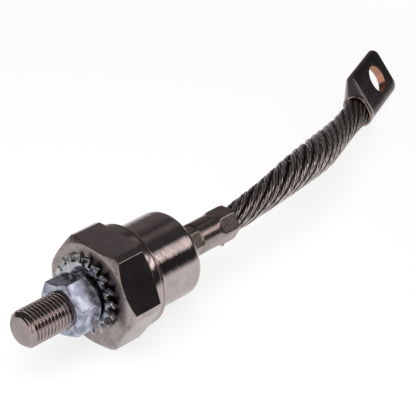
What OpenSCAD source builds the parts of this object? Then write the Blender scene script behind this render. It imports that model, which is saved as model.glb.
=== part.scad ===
// Stud-mount rectifier diode with a crimped rope lead and a cable lug.
//
// The part lies as it does on a bench. The stud's axis runs along X, the seat
// that meets the heatsink is at X = 0, the stud points to -X and the lead to
// +X. One flat of the hexagon faces straight down and carries the part,
// together with the lower edge of the lug.

/* [Stud base] */
// Hexagon across flats
hex_af = 27; // [24:0.5:32]
// Height of the hexagon, from its seat to the shoulder under the weld ring
hex_h = 9.8; // [8:0.1:14]
// Diameter that the hexagon's corners are turned to
corner_d = 30.2; // [28:0.1:31]
// Diameter of the flat seat
seat_d = 26.6; // [23:0.1:27]
// Slope of the chamfer around the seat, in degrees
seat_slope = 35; // [15:1:45]
// Slope of the chamfer around the shoulder, in degrees
back_slope = 15; // [5:1:30]
// Major diameter of the stud's thread
stud_d = 9.525; // [8:0.025:12]
// Pitch of the stud's thread
thread_pitch = 1.058; // [0.8:0.001:1.5]
// Length of the stud, from the seat to its tip
stud_len = 22; // [16:0.5:30]
// Diameter of the stud's end face, inside its chamfer
tip_d = 7.4; // [5:0.1:7.8]
// Diameter of the pedestal that carries the junction
pedestal_d = 17; // [14:0.1:18]
// Height of the pedestal above the weld ring
pedestal_h = 1.9; // [1:0.1:4]

/* [Weld ring] */
// How far the ring's edge stands in from the hexagon's flats
ring_inset = 0; // [0:0.05:0.7]
// Bore of the ring, which registers on the base
ring_bore = 19; // [18.5:0.1:20.5]
// Height of the ring
ring_h = 2.3; // [1.5:0.1:4]
// Chamfer on the ring's outer edge, at the weld
ring_chamfer = 0.25; // [0.1:0.05:0.5]

/* [Cap] */
// Outer diameter of the can
cap_d = 22.6; // [22:0.1:24]
// Height of the can, from the weld ring to its top
cap_h = 15.7; // [14:0.1:20]
// Thickness of the can's sheet metal
cap_wall = 0.8; // [0.5:0.05:1.2]
// Radius of the can's top edge
cap_edge_r = 2; // [1.3:0.1:2.5]
// How far the welded flange's edge stands in from the ring's edge
flange_inset = 0.1; // [0:0.05:0.5]
// Thickness of the welded flange
flange_t = 0.65; // [0.4:0.05:1]
// Radius between the flange and the can's wall
flange_root_r = 0.5; // [0.2:0.1:0.8]
// Bore of the turned-in neck, which holds the glass
neck_bore = 13; // [12:0.1:15]
// Depth of the turned-in neck
neck_depth = 2.4; // [1.5:0.1:4]

/* [Glass seal] */
// Height of the glass ring
seal_h = 2.6; // [1.5:0.1:3.5]
// How far the glass stands below the top of the can
seal_recess = 0.2; // [0:0.1:1]

/* [Terminal tube] */
// Diameter of the tube
tube_d = 8.6; // [8:0.1:9.5]
// Length of tube below the top of the can
tube_inside = 5; // [3.5:0.1:8]
// Length of plain tube between the can and the inner crimp
tube_neck = 2.5; // [1:0.1:4]
// Inner crimp across flats
inner_crimp_af = 7.7; // [7.2:0.05:8]
// Length of the inner crimp
inner_crimp_len = 5.3; // [3:0.1:8]
// Length of the plain round stretch between the crimps
tube_body = 5.8; // [3:0.1:8]
// Outer crimp across flats
outer_crimp_af = 8.3; // [8:0.05:9]
// Length of the outer crimp
outer_crimp_len = 6.7; // [5:0.1:10]
// Diameter over the swollen corners of the outer crimp
outer_crimp_d = 9.3; // [9:0.1:10]
// Diameter over the corners at the tube's mouth
tube_mouth_d = 8.8; // [8.2:0.1:9]
// Chamfer on the edges of the tube's mouth
mouth_chamfer = 0.25; // [0.1:0.05:0.4]
// Turn of the crimping die about the axis, in degrees
crimp_turn = 24; // [0:1:59]

/* [Flexible lead] */
// Diameter of the rope where it is gripped
rope_end_d = 6.8; // [6:0.1:7.2]
// Diameter of the rope halfway along, where its strands are slack
rope_mid_d = 9.3; // [7.5:0.1:10]

/* [Cable lug] */
// Width of the oval barrel
barrel_w = 10; // [9:0.1:12]
// Height of the oval barrel
barrel_h = 7.5; // [6.5:0.1:9]
// Wall of the barrel at its mouth
barrel_wall = 0.7; // [0.5:0.05:1]
// Depth of the barrel's mouth, where the rope enters
barrel_mouth = 1; // [0.6:0.1:1.5]
// Length of the throat, from the mouth to the palm
throat_len = 12.7; // [9:0.1:18]
// Height of the barrel's axis above the palm's upper face
palm_drop = 2.6; // [1:0.1:3.5]
// Width of the palm
palm_w = 14.3; // [13:0.1:18]
// Thickness of the palm
palm_t = 2.4; // [1.8:0.1:3.5]
// Distance from the throat to the hole's centre
hole_from_throat = 13.2; // [8:0.1:18]
// Distance from the hole's centre to the palm's end
hole_to_end = 9.1; // [6.5:0.1:12]
// Radius of the palm's end corners
palm_corner_r = 2.4; // [1:0.1:5]
// Diameter of the hole
hole_d = 8.4; // [6:0.1:10]
// Roll of the palm about the lead's axis, in degrees
lug_roll = 52.5; // [0:0.5:90]
// Dip of the lug below level, in degrees
lug_dip = 2.2; // [-10:0.1:10]
// Heading of the lug away from the stud's axis, in degrees
lug_heading = 22; // [0:0.5:45]

/* [Nut] */
// Nut across flats
nut_af = 13.5; // [12.7:0.1:17]
// Thickness of the nut
nut_h = 7.4; // [5:0.1:9]
// Slope of the chamfers on the nut's corners, in degrees
nut_slope = 30; // [15:1:40]
// Distance from the nut's flats in to the round edge of its faces
nut_rim = 0.35; // [0.1:0.05:0.8]
// Gap between the nut and the washer where they come closest
nut_gap = 0.4; // [0:0.05:1]
// Turn of the nut about the axis, in degrees
nut_turn = 10; // [0:1:59]

/* [Toothed washer] */
// Play of the washer's bore around the stud, all in all
washer_play = 1.9; // [0.4:0.1:2.4]
// Width of the washer's ring, from the bore to the roots of the teeth
washer_ring_w = 2.5; // [2:0.1:3]
// Length of a tooth, from its root to its tip
tooth_len = 2; // [1.4:0.1:3]
// Thickness of the washer
washer_t = 0.8; // [0.6:0.05:1.2]
// Number of teeth
tooth_count = 18; // [12:1:20]
// Width of a tooth at its root
tooth_root_w = 1.9; // [1.5:0.1:2.4]
// Width of a tooth at its tip
tooth_tip_w = 2.2; // [1.8:0.1:2.8]
// Twist of the teeth, in degrees
tooth_twist = 30; // [15:1:45]
// Lean of the loose washer, whose lower edge stands off the seat, in degrees
washer_lean = 2; // [0:0.5:4]
// Sideways shift of the loose washer, within the play of its bore
washer_shift = 0.9; // [0:0.05:0.95]
// Direction of the shift, in degrees from straight up
washer_shift_turn = 30; // [0:1:359]

/* [Junction] */
// How far the lower disc stands out from the die's edge
lower_disc_rim = 1; // [0.9:0.1:1.2]
// Thickness of the lower disc
lower_disc_t = 1; // [0.5:0.1:2]
// Diameter of the silicon die
die_d = 14; // [12:0.1:14.5]
// Thickness of the silicon die
die_t = 0.4; // [0.3:0.05:0.8]
// Diameter of the upper disc
upper_disc_d = 11.6; // [10:0.1:12]
// Thickness of the upper disc
upper_disc_t = 0.8; // [0.5:0.1:2]
// Width of the coating ring outside the die's edge
coat_w = 0.7; // [0.4:0.05:0.9]
// Height of the coating ring above the die
coat_h = 0.35; // [0.2:0.05:0.45]
// Diameter of the contact cup's foot
cup_foot_d = 10; // [8:0.1:11]
// Diameter of the contact cup's wall
cup_wall_d = 7.4; // [7:0.1:8]
// Thickness of the contact cup's foot
cup_foot_t = 1; // [0.6:0.1:2]
// Height of the contact cup
cup_h = 3.6; // [2:0.1:4.5]
// Diameter of the inner lead
inner_lead_d = 5; // [4:0.1:5.4]

/* [Clearances] */
// Gap around pieces that are fused, brazed or pressed together
fit_gap = 0.02; // [0:0.01:0.05]
// Gap around the ends of the rope and the inner lead
lead_gap = 0.1; // [0.05:0.05:0.2]
// Gap between the threads of the stud and the nut
thread_gap = 0.04; // [0.02:0.01:0.1]
// Plain stretch of the stud left clear of the nut's outer face
nut_clear = 0.4; // [0.2:0.1:1]

/* [Hidden] */
$fn = 64;

NICKEL = [0.56, 0.51, 0.48];
ZINC = [0.70, 0.73, 0.80];
TINNED = [0.42, 0.39, 0.37];
DARK_NICKEL = [0.30, 0.27, 0.26];
COPPER = [0.72, 0.43, 0.32];
GLASS = [0.30, 0.36, 0.32];
MOLY = [0.55, 0.55, 0.57];
SILICON = [0.28, 0.29, 0.33];
RUBBER = [0.88, 0.87, 0.84];

// The weld ring is as wide as the hexagon's flats, and carries the flange
ring_d = hex_af - 2 * ring_inset;
flange_d = ring_d - 2 * flange_inset;

// Stations along the axis, measured from the seat
ring_x = hex_h;
cap_x = ring_x + ring_h;
cap_top = cap_x + cap_h;
tube_foot = cap_top - tube_inside;
inner_crimp_x = cap_top + tube_neck;
body_x = inner_crimp_x + inner_crimp_len;
outer_crimp_x = body_x + tube_body;
tube_end = outer_crimp_x + outer_crimp_len;

// Stack of the junction, on a disc a little wider than the die
lower_disc_d = die_d + 2 * lower_disc_rim;
lower_disc_x = cap_x + pedestal_h;
die_x = lower_disc_x + lower_disc_t;
upper_disc_x = die_x + die_t;
cup_x = upper_disc_x + upper_disc_t;
lead_foot = cup_x + cup_foot_t;

// The thread is drawn plain: full diameter where it stands free, and at its
// pitch line inside the nut, where the two threads meet
pitch_r = stud_d / 2 - 0.325 * thread_pitch;
tip_h = (stud_d - tip_d) / 2;

// The washer grows from the stud outwards. The nut is finger tight, so the
// washer leans: its upper teeth touch the seat, and its ring comes close to the
// nut's lower edge
washer_bore = stud_d + washer_play;
washer_root_d = washer_bore + 2 * washer_ring_w;
washer_tip_d = washer_root_d + 2 * tooth_len;
tooth_reach = tooth_tip_w / 2 * sin(tooth_twist) + washer_t / 2 * cos(tooth_twist);
nut_corner_r = nut_af / 2 / cos(30);
washer_x = tooth_reach + norm([washer_tip_d, tooth_tip_w]) / 2 * sin(washer_lean);
nut_x = washer_x + washer_t / 2 + nut_corner_r * sin(washer_lean) + nut_gap;
free_stud = stud_len - nut_x - nut_h - nut_clear;

// Pose of the lug: its axis, and the direction across its palm
lug_axis = [cos(lug_heading) * cos(lug_dip), sin(lug_heading) * cos(lug_dip), -sin(lug_dip)];
lug_side = [cos(lug_heading) * sin(lug_dip) * sin(lug_roll) - sin(lug_heading) * cos(lug_roll),
            sin(lug_heading) * sin(lug_dip) * sin(lug_roll) + cos(lug_heading) * cos(lug_roll),
            cos(lug_dip) * sin(lug_roll)];

// Route of the rope between the tube's mouth and the lug's mouth
FREE_ROUTE = [[53, 0.2, 0.3], [57.5, 0.6, 0.6], [62.5, 1, 0.9], [67, 1.6, 1.1],
              [72, 2.4, 1.2], [76.5, 3.3, 1.2], [81.5, 4.4, 0.9], [86, 5.6, 0.4],
              [90.5, 7, -0.3], [95, 8.6, -1], [99.5, 10.3, -1.7], [104, 12.1, -2.4],
              [108.5, 13.8, -3], [113, 15.5, -3.4], [117.5, 17.2, -3.7], [122, 18.9, -3.9]];
lug_mouth = FREE_ROUTE[len(FREE_ROUTE) - 1];
ROUTE = concat([[outer_crimp_x, 0, 0], [(outer_crimp_x + tube_end) / 2, 0, 0], [tube_end, 0, 0]],
               FREE_ROUTE, [lug_mouth + (barrel_mouth - fit_gap) * lug_axis]);
ROPE_SIDES = 12;

// Rope section at the lug, inside the oval mouth
rope_lug_w = barrel_w - 2 * barrel_wall - 2 * lead_gap;
rope_lug_h = barrel_h - 2 * barrel_wall - 2 * lead_gap;

function unit(v) = v / norm(v);
function clamp(t) = min(1, max(0, t));

// Share of the free rope behind point i: 0 at the tube's mouth, 1 at the lug's
function share(i) = clamp((i - 2) / (len(ROUTE) - 4));
function rope_r(s) = (rope_end_d + (rope_mid_d - rope_end_d) * pow(sin(180 * pow(s, 1.1)), 2)) / 2;
function flatten(s) = pow(clamp((s - 0.65) / 0.35), 2);
function half_w(s) = rope_r(s) + (rope_lug_w / 2 - rope_r(s)) * flatten(s);
function half_h(s) = rope_r(s) + (rope_lug_h / 2 - rope_r(s)) * flatten(s);
function heading(i) = i == 0 ? [1, 0, 0]
                    : i >= len(ROUTE) - 2 ? lug_axis
                    : unit(ROUTE[i + 1] - ROUTE[i - 1]);

// Ring of points around route point i, wide across the lug's palm
function rope_ring(i) =
    let (t = heading(i), b = unit(cross(t, lug_side)), a = cross(b, t), s = share(i))
    [for (k = [0:ROPE_SIDES - 1]) let (q = 360 * k / ROPE_SIDES)
        ROUTE[i] + half_w(s) * cos(q) * a + half_h(s) * sin(q) * b];

// Stands a piece that is drawn along Z on the stud's axis, lying along X
module on_axis(x = 0) {
    translate([x, 0, 0]) rotate([0, 90, 0]) children();
}

// Hexagonal prism by its width across flats, with a corner at the given turn
module hex_prism(af, h, turn) {
    rotate([0, 0, turn]) cylinder(d = af / cos(30), h = h, $fn = 6);
}

// Oval of a flattened tube: straight in the middle, with round ends
module oval(w, h) {
    square([w - h, h], center = true);
    for (s = [-1, 1]) translate([s * (w - h) / 2, 0]) circle(d = h);
}

// Sets an outline across the lug and draws it out along the lug's axis
module along_lug(x, len) {
    translate([x, 0, 0]) rotate([90, 0, 90]) linear_extrude(len) children();
}

// Round disc of the junction's stack
module stack_disc(x, d, t) {
    on_axis(x) cylinder(d = d, h = t);
}

module stud_base() {
    seat_rise = (corner_d - seat_d) / 2 * tan(seat_slope);
    back_fall = (corner_d - ring_d) / 2 * tan(back_slope);
    color(NICKEL) on_axis() {
        intersection() {
            hex_prism(hex_af, hex_h, 30);
            rotate_extrude() polygon([[0, 0], [seat_d / 2, 0], [corner_d / 2, seat_rise],
                [corner_d / 2, hex_h - back_fall], [ring_d / 2, hex_h], [0, hex_h]]);
        }
        // Register for the weld ring, and the pedestal
        cylinder(d = ring_bore - 2 * fit_gap, h = cap_x);
        cylinder(d = pedestal_d, h = lower_disc_x);
        // Stud, from the seat to its chamfered tip
        mirror([0, 0, 1]) {
            cylinder(r = pitch_r, h = stud_len - tip_h);
            translate([0, 0, stud_len - free_stud]) cylinder(d = stud_d, h = free_stud - tip_h);
            translate([0, 0, stud_len - tip_h]) cylinder(d1 = stud_d, d2 = tip_d, h = tip_h);
        }
    }
}

module weld_ring() {
    color(NICKEL) on_axis(ring_x) rotate_extrude()
        polygon([[ring_bore / 2, 0], [ring_d / 2, 0], [ring_d / 2, ring_h - ring_chamfer],
            [ring_d / 2 - ring_chamfer, ring_h], [ring_bore / 2, ring_h]]);
}

// Half section of the can's outside, from the flange to the rounded top
module can_outline(r, h, edge) {
    square([r, h - edge]);
    square([r - edge, h]);
    translate([r - edge, h - edge]) circle(r = edge);
}

module cap() {
    r = cap_d / 2;
    color(NICKEL) on_axis(cap_x) rotate_extrude() difference() {
        union() {
            difference() {
                union() {
                    can_outline(r, cap_h, cap_edge_r);
                    square([flange_d / 2, flange_t]);
                    // Radius at the foot of the wall
                    difference() {
                        translate([r - cap_wall / 2, 0]) square([cap_wall / 2 + flange_root_r, flange_t + flange_root_r]);
                        translate([r + flange_root_r, flange_t + flange_root_r]) circle(r = flange_root_r);
                    }
                }
                can_outline(r - cap_wall, cap_h - cap_wall, cap_edge_r - cap_wall);
            }
            translate([neck_bore / 2, cap_h - neck_depth]) square([cap_wall, neck_depth]);
        }
        square([neck_bore / 2, cap_h]);
        // Keeps the section on one side of the axis
        translate([-r, -1]) square([r, cap_h + 2]);
    }
}

module glass_seal() {
    color(GLASS) on_axis(cap_top - seal_recess - seal_h) difference() {
        cylinder(d = neck_bore - 2 * fit_gap, h = seal_h);
        translate([0, 0, -1]) cylinder(d = tube_d + 2 * fit_gap, h = seal_h + 2);
    }
}

// What the die presses away over one crimp: all that lies outside its hexagon
module die_cut(x, len, af) {
    on_axis(x) difference() {
        cylinder(d = 2 * outer_crimp_d, h = len);
        translate([0, 0, -1]) hex_prism(af, len + 2, crimp_turn);
    }
}

module terminal_tube() {
    color(NICKEL) difference() {
        // Round tube, swollen at its mouth where the die squeezed the metal out
        on_axis(outer_crimp_x) rotate_extrude() polygon([[0, tube_foot - outer_crimp_x],
            [tube_d / 2, tube_foot - outer_crimp_x], [tube_d / 2, 0],
            [outer_crimp_d / 2, 0.35 * outer_crimp_len], [outer_crimp_d / 2, 0.6 * outer_crimp_len],
            [tube_mouth_d / 2, outer_crimp_len - mouth_chamfer],
            [tube_mouth_d / 2 - mouth_chamfer, outer_crimp_len], [0, outer_crimp_len]]);
        die_cut(inner_crimp_x, inner_crimp_len, inner_crimp_af);
        die_cut(outer_crimp_x, outer_crimp_len + 1, outer_crimp_af);
        // Socket of the inner lead, from below, and of the rope, from the mouth
        on_axis(tube_foot - 1) cylinder(d = inner_lead_d + 2 * lead_gap, h = body_x - tube_foot + 1);
        on_axis(outer_crimp_x) cylinder(d = rope_end_d + 2 * lead_gap, h = outer_crimp_len + 1);
    }
}

module flexible_lead() {
    n = len(ROUTE);
    m = ROPE_SIDES;
    color(TINNED) polyhedron(
        points = [for (i = [0:n - 1]) each rope_ring(i)],
        faces = concat(
            [[for (k = [0:m - 1]) k], [for (k = [m - 1:-1:0]) (n - 1) * m + k]],
            [for (i = [0:n - 2]) for (k = [0:m - 1])
                let (a = i * m + k, b = i * m + (k + 1) % m) [a, a + m, b + m, b]]));
}

module cable_lug() {
    palm_z = -palm_drop - palm_t / 2;
    palm_len = hole_from_throat + hole_to_end;
    hole_x = throat_len + hole_from_throat;
    color(DARK_NICKEL) translate(lug_mouth) rotate([lug_roll, lug_dip, lug_heading]) difference() {
        union() {
            // Barrel and throat, pressed from the oval mouth down to the palm
            hull() {
                along_lug(0, barrel_mouth + barrel_wall / 2) oval(barrel_w, barrel_h, $fn = 32);
                along_lug(throat_len, 0.1) translate([0, palm_z]) oval(palm_w, palm_t, $fn = 32);
            }
            // Palm: the flattened tube, cut to an end with round corners
            intersection() {
                along_lug(throat_len, palm_len) translate([0, palm_z]) oval(palm_w, palm_t);
                translate([throat_len, 0, palm_z - palm_t]) linear_extrude(2 * palm_t) {
                    translate([0, -palm_w / 2]) square([palm_len - palm_corner_r, palm_w]);
                    translate([0, palm_corner_r - palm_w / 2]) square([palm_len, palm_w - 2 * palm_corner_r]);
                    for (s = [-1, 1])
                        translate([palm_len - palm_corner_r, s * (palm_w / 2 - palm_corner_r)])
                            circle(r = palm_corner_r);
                }
            }
        }
        along_lug(-1, barrel_mouth + 1) oval(barrel_w - 2 * barrel_wall, barrel_h - 2 * barrel_wall);
        translate([hole_x, 0, palm_z - palm_t]) cylinder(d = hole_d, h = 2 * palm_t);
    }
}

module hex_nut() {
    face_r = nut_af / 2 - nut_rim;
    // The cones of the chamfers run on past the corners
    cone_r = nut_corner_r + nut_rim;
    fall = (cone_r - face_r) * tan(nut_slope);
    bore_r = pitch_r + thread_gap;
    sink = stud_d / 2 + thread_gap - bore_r;
    color(ZINC) on_axis(-nut_x - nut_h) difference() {
        intersection() {
            hex_prism(nut_af, nut_h, nut_turn);
            rotate_extrude() polygon([[0, 0], [face_r, 0], [cone_r, fall],
                [cone_r, nut_h - fall], [face_r, nut_h], [0, nut_h]]);
        }
        translate([0, 0, -1]) cylinder(r = bore_r, h = nut_h + 2);
        // Countersinks at both ends of the thread
        cylinder(r1 = bore_r + sink, r2 = bore_r, h = sink);
        translate([0, 0, nut_h - sink]) cylinder(r1 = bore_r, r2 = bore_r + sink, h = sink);
    }
}

// One tooth, drawn flat from inside the ring to its tip, then twisted
module washer_tooth() {
    root = washer_root_d / 2 - washer_t;
    rotate([tooth_twist, 0, 0]) linear_extrude(washer_t, center = true)
        polygon([[root, -tooth_root_w / 2], [washer_tip_d / 2, -tooth_tip_w / 2],
            [washer_tip_d / 2, tooth_tip_w / 2], [root, tooth_root_w / 2]]);
}

module tooth_washer() {
    color(ZINC) translate([-washer_x, washer_shift * sin(washer_shift_turn), washer_shift * cos(washer_shift_turn)])
            rotate([0, washer_lean, 0]) on_axis() difference() {
        union() {
            cylinder(d = washer_root_d, h = washer_t, center = true);
            for (i = [0:tooth_count - 1]) rotate([0, 0, 360 * i / tooth_count]) washer_tooth();
        }
        cylinder(d = washer_bore, h = 2 * washer_t, center = true);
    }
}

module lower_disc() {
    color(MOLY) stack_disc(lower_disc_x, lower_disc_d, lower_disc_t);
}

module silicon_die() {
    color(SILICON) stack_disc(die_x, die_d, die_t);
}

// Ring that covers the die's edge, from the lower disc over the die's rim
module junction_coat() {
    inner = upper_disc_d / 2 + fit_gap;
    edge = die_d / 2 + fit_gap;
    color(RUBBER) on_axis(die_x) rotate_extrude()
        polygon([[edge, 0], [die_d / 2 + coat_w, 0], [die_d / 2 + coat_w, die_t],
            [die_d / 2, die_t + coat_h], [inner, die_t + coat_h], [inner, die_t + fit_gap],
            [edge, die_t + fit_gap]]);
}

module upper_disc() {
    color(MOLY) stack_disc(upper_disc_x, upper_disc_d, upper_disc_t);
}

module contact_cup() {
    color(COPPER) on_axis(cup_x) difference() {
        union() {
            cylinder(d = cup_foot_d, h = cup_foot_t);
            cylinder(d = cup_wall_d, h = cup_h);
        }
        translate([0, 0, cup_foot_t]) cylinder(d = inner_lead_d + 2 * lead_gap, h = cup_h);
    }
}

module inner_lead() {
    color(COPPER) stack_disc(lead_foot, inner_lead_d, body_x - lead_foot);
}

stud_base();
weld_ring();
cap();
glass_seal();
terminal_tube();
flexible_lead();
cable_lug();
hex_nut();
tooth_washer();
lower_disc();
silicon_die();
junction_coat();
upper_disc();
contact_cup();
inner_lead();
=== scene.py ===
# %% [markdown]
# # A stud diode with a rope lead
#
# The CAD model of this part is a set of plain solids, right in size and place.
# This file dresses it: it cuts the threads, lays the strands of the lead,
# rounds the edges that catch the light, and gives each metal its finish. The
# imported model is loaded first, because every later piece sits in its frame.

import bpy
import numpy as np
from mathutils import Matrix


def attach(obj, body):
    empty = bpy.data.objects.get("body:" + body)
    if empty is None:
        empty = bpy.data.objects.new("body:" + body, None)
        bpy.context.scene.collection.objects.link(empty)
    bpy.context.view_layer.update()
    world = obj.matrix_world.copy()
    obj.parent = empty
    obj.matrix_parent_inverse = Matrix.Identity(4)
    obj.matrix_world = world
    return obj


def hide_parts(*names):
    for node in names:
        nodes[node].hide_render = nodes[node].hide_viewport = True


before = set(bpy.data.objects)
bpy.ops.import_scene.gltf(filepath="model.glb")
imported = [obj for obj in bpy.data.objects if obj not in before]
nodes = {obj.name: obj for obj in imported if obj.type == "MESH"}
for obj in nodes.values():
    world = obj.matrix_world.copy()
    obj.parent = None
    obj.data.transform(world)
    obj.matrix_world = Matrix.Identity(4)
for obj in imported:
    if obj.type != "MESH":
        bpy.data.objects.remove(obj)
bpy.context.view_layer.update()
scene = bpy.context.scene
scene.view_settings.view_transform = "Standard"
MM = 0.001
print("CAD nodes:", len(nodes))

# %% [markdown]
# ## Shader sums as Python sums
#
# A finish is a small formula: this much noise, times that mask, plus a base.
# It could be wired node by node, but then the formula is hard to read back. So
# one class wraps a socket, and Python's own operators add the Math nodes. Any
# other node comes from the one method `node`.


# %% A class for the wires of a node tree
class Wire:
    """One output socket of a node tree; sums of wires become Math nodes."""

    def __init__(self, tree, socket=None):
        self.tree, self.socket = tree, socket

    def node(self, kind, settings=None, inputs=None, out=0):
        """Adds a node: settings are set first, then socket values and links."""
        made = self.tree.nodes.new("ShaderNode" + kind)
        for name, value in (settings or {}).items():
            setattr(made, name, value)
        for key, value in (inputs or {}).items():
            if isinstance(value, Wire):
                self.tree.links.new(value.socket, made.inputs[key])
            else:
                made.inputs[key].default_value = value
        return Wire(self.tree, made.outputs[out] if made.outputs else None)

    def math(self, operation, a, b=0.0, clamp=False):
        return self.node("Math", {"operation": operation, "use_clamp": clamp}, {0: a, 1: b})

    def __add__(self, other):
        return self.math("ADD", self, other)

    def __sub__(self, other):
        return self.math("SUBTRACT", self, other)

    def __rsub__(self, other):
        return self.math("SUBTRACT", other, self)

    def __mul__(self, other):
        return self.math("MULTIPLY", self, other)

    __radd__, __rmul__ = __add__, __mul__

    def at_least(self, low):
        """The greater of this value and `low`."""
        return self.math("MAXIMUM", self, low)

    def clamp(self):
        """Keeps the value between 0 and 1."""
        return self.math("ADD", self, 0.0, clamp=True)

    def ramp(self, low, high):
        """0 below `low`, 1 above `high`, and a smooth step between them."""
        return self.node("MapRange", {"interpolation_type": "SMOOTHSTEP"},
                         {"Value": self, "From Min": low, "From Max": high})

    def ramp_mm(self, low, high):
        """The same step, between two lengths in millimetres."""
        return self.ramp(low * MM, high * MM)

    def mix(self, a, b):
        """Colour `a` where this wire is 0, colour `b` where it is 1."""
        return self.node("Mix", {"data_type": "RGBA"}, {0: self, 6: rgba(a), 7: rgba(b)}, out=2)

    def noise(self, scale, detail=3.0, rough=0.5):
        """Value noise over this vector wire, `scale` cells to the metre."""
        return self.node("TexNoise", {}, {
            "Vector": self, "Scale": scale, "Detail": detail, "Roughness": rough})

    def vector(self, operation, other=(0.0, 0.0, 0.0), out="Vector"):
        """A Vector Math node on this vector wire and another vector."""
        return self.node("VectorMath", {"operation": operation}, {0: self, 1: other}, out)

    def stretch(self, x, y, z):
        """This vector wire times a vector; a 0 drops that coordinate."""
        return self.vector("MULTIPLY", (x, y, z))

    def minus(self, point):
        """This vector wire, measured from a point."""
        return self.vector("SUBTRACT", tuple(point))

    def length(self):
        return self.vector("LENGTH", out="Value")

    def dot(self, x, y, z):
        """How much this vector wire points the way of (x, y, z)."""
        return self.vector("DOT_PRODUCT", (x, y, z), out="Value")

    def along(self, axis):
        """One coordinate of this vector wire: "X", "Y" or "Z"."""
        return self.node("SeparateXYZ", {}, {0: self}, out=axis)


def rgba(colour):
    return colour if isinstance(colour, Wire) else (*colour[:3], 1.0)


# %% [markdown]
# ## The camera
#
# The photograph looks down at the part from the side of its stud. The camera's
# place was worked out from the stud, the hexagon and the can, whose sizes are
# known, so the same view follows from its place, its axes and its lens.

# %% Set up the camera
CAMERA_AT = (-0.25533, -0.27187, 0.26707)
CAMERA_FORWARD = np.array((0.6183, 0.5684, -0.5428))
CAMERA_UP = np.array((0.3621, 0.4069, 0.8386))
LENS, SENSOR = 164.40, 36.0
NEAREST, FARTHEST = 0.01, 50.0


def add(name, data):
    made = bpy.data.objects.new(name, data)
    scene.collection.objects.link(made)
    return made


def unit(v):
    return v / np.linalg.norm(v, axis=-1, keepdims=True)


def aimed(at, right, up, back):
    """Matrix of a camera or lamp that stands at a point and looks along -back."""
    turn = Matrix(np.column_stack([right, up, back]).tolist())
    return Matrix.Translation(at) @ turn.to_4x4()


forward = unit(CAMERA_FORWARD)
right = unit(np.cross(forward, CAMERA_UP))
camera = add("camera", bpy.data.cameras.new("camera"))
camera.matrix_world = aimed(CAMERA_AT, right, np.cross(right, forward), -forward)
camera.data.lens, camera.data.sensor_width = LENS, SENSOR
camera.data.clip_start, camera.data.clip_end = NEAREST, FARTHEST
scene.camera = camera
print("camera at", CAMERA_AT)

# %% [markdown]
# ## From a grid of points to a piece
#
# Most pieces here are turned, pressed or laid, so each is a grid: one direction
# runs along the piece and the other goes around it. numpy works the whole grid
# out at once, and these helpers join neighbours into quads, close the ends and
# make sure that the faces point outwards.


# %% Helpers that lay a grid of points down as a mesh
def around(count):
    """Turns that divide a circle evenly."""
    return np.linspace(0, 2 * np.pi, count, endpoint=False)


def weave(rows, columns, closed_rows):
    """Index quads of a grid whose columns go all the way around."""
    index = np.arange(rows * columns).reshape(rows, columns)
    here = index if closed_rows else index[:-1]
    ahead = np.roll(index, -1, axis=0) if closed_rows else index[1:]
    quads = np.stack([here, np.roll(here, -1, 1), np.roll(ahead, -1, 1), ahead], axis=-1)
    return quads.reshape(-1, 4), [index[0, ::-1], index[-1]]


def build(name, points, faces, sharp=35.0, marks=None):
    """Makes an object of points in millimetres, turned right side out.

    The sum of (corner 0) . (corner 1 x corner 2) over the faces is six times
    the volume, and it is negative when the faces point inwards. Marks are
    numbers kept for each point, which a finish can read.
    """
    points = np.asarray(points, float).reshape(-1, 3) * MM
    three = np.array([face[:3] for face in faces])
    a, b, c = (points[three[:, i]] - points.mean(0) for i in range(3))
    if np.einsum("ij,ij->", a, np.cross(b, c)) < 0:
        faces = [face[::-1] for face in faces]
    mesh = bpy.data.meshes.new(name)
    mesh.from_pydata(points.tolist(), [], faces)
    mesh.shade_smooth()
    mesh.set_sharp_from_angle(angle=np.radians(sharp))
    for mark, values in (marks or {}).items():
        values = np.asarray(values, np.float32).ravel()
        mesh.attributes.new(mark, "FLOAT", "POINT").data.foreach_set("value", values)
    return add(name, mesh)


def lay(name, grid, ring=False, **extra):
    """Lays down one grid: a closed ring, or a tube with its two ends filled."""
    quads, ends = weave(*grid.shape[:2], ring)
    faces = quads.tolist() + ([] if ring else [end.tolist() for end in ends])
    return build(name, grid, faces, **extra)


def dress(piece, material, slot, *stands_for):
    """Gives a piece its finish and its place in the frame."""
    piece.data.materials.clear()
    piece.data.materials.append(material)
    if stands_for:
        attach(piece, "root")
        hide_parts(*stands_for)
    print(f"{piece.name}: {len(piece.data.polygons)} faces")
    return piece


# %% [markdown]
# ## Finishes
#
# Nothing on this part is painted: it is all plated metal, and metal shows
# mostly what stands around it. What makes it real is how it blurs that: lathe
# rings on the turned pieces, a fine grain on the plate, cloudy patches on the
# zinc, and small spots. Each finish reads Object coordinates in metres.


# %% Start a finish, and the marks a lathe leaves
def finish(name, **constants):
    """A new material, its shader, and its Object coordinates as a wire."""
    material = bpy.data.materials.new(name)
    material.use_nodes = True
    shader = material.node_tree.nodes["Principled BSDF"]
    for socket, value in constants.items():
        shader.inputs[socket.replace("_", " ")].default_value = value
    return material, shader, Wire(material.node_tree).node("TexCoord", out="Object")


def feed(shader, wires):
    """Links wires to the shader's sockets of these names."""
    for socket, wire in wires.items():
        wire.tree.links.new(wire.socket, shader.inputs[socket])


def darker(colour, share):
    return tuple(share * c for c in colour)


def relief(height, strength, depth):
    """Bump from a height wire; the depth is in millimetres."""
    inputs = {"Strength": strength, "Distance": depth * MM, "Height": height}
    return height.node("Bump", {}, inputs, out="Normal")


def axis_distance(place):
    """How far a spot lies from the stud's axis: the length of (0, y, z)."""
    return place.stretch(0.0, 1.0, 1.0).length()


def lathe_rings(place, scale):
    """Noise that changes only along the axis and with distance from it."""
    inputs = {"X": place.along("X"), "Y": axis_distance(place)}
    return place.node("CombineXYZ", {}, inputs).noise(scale, detail=4.0)


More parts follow.
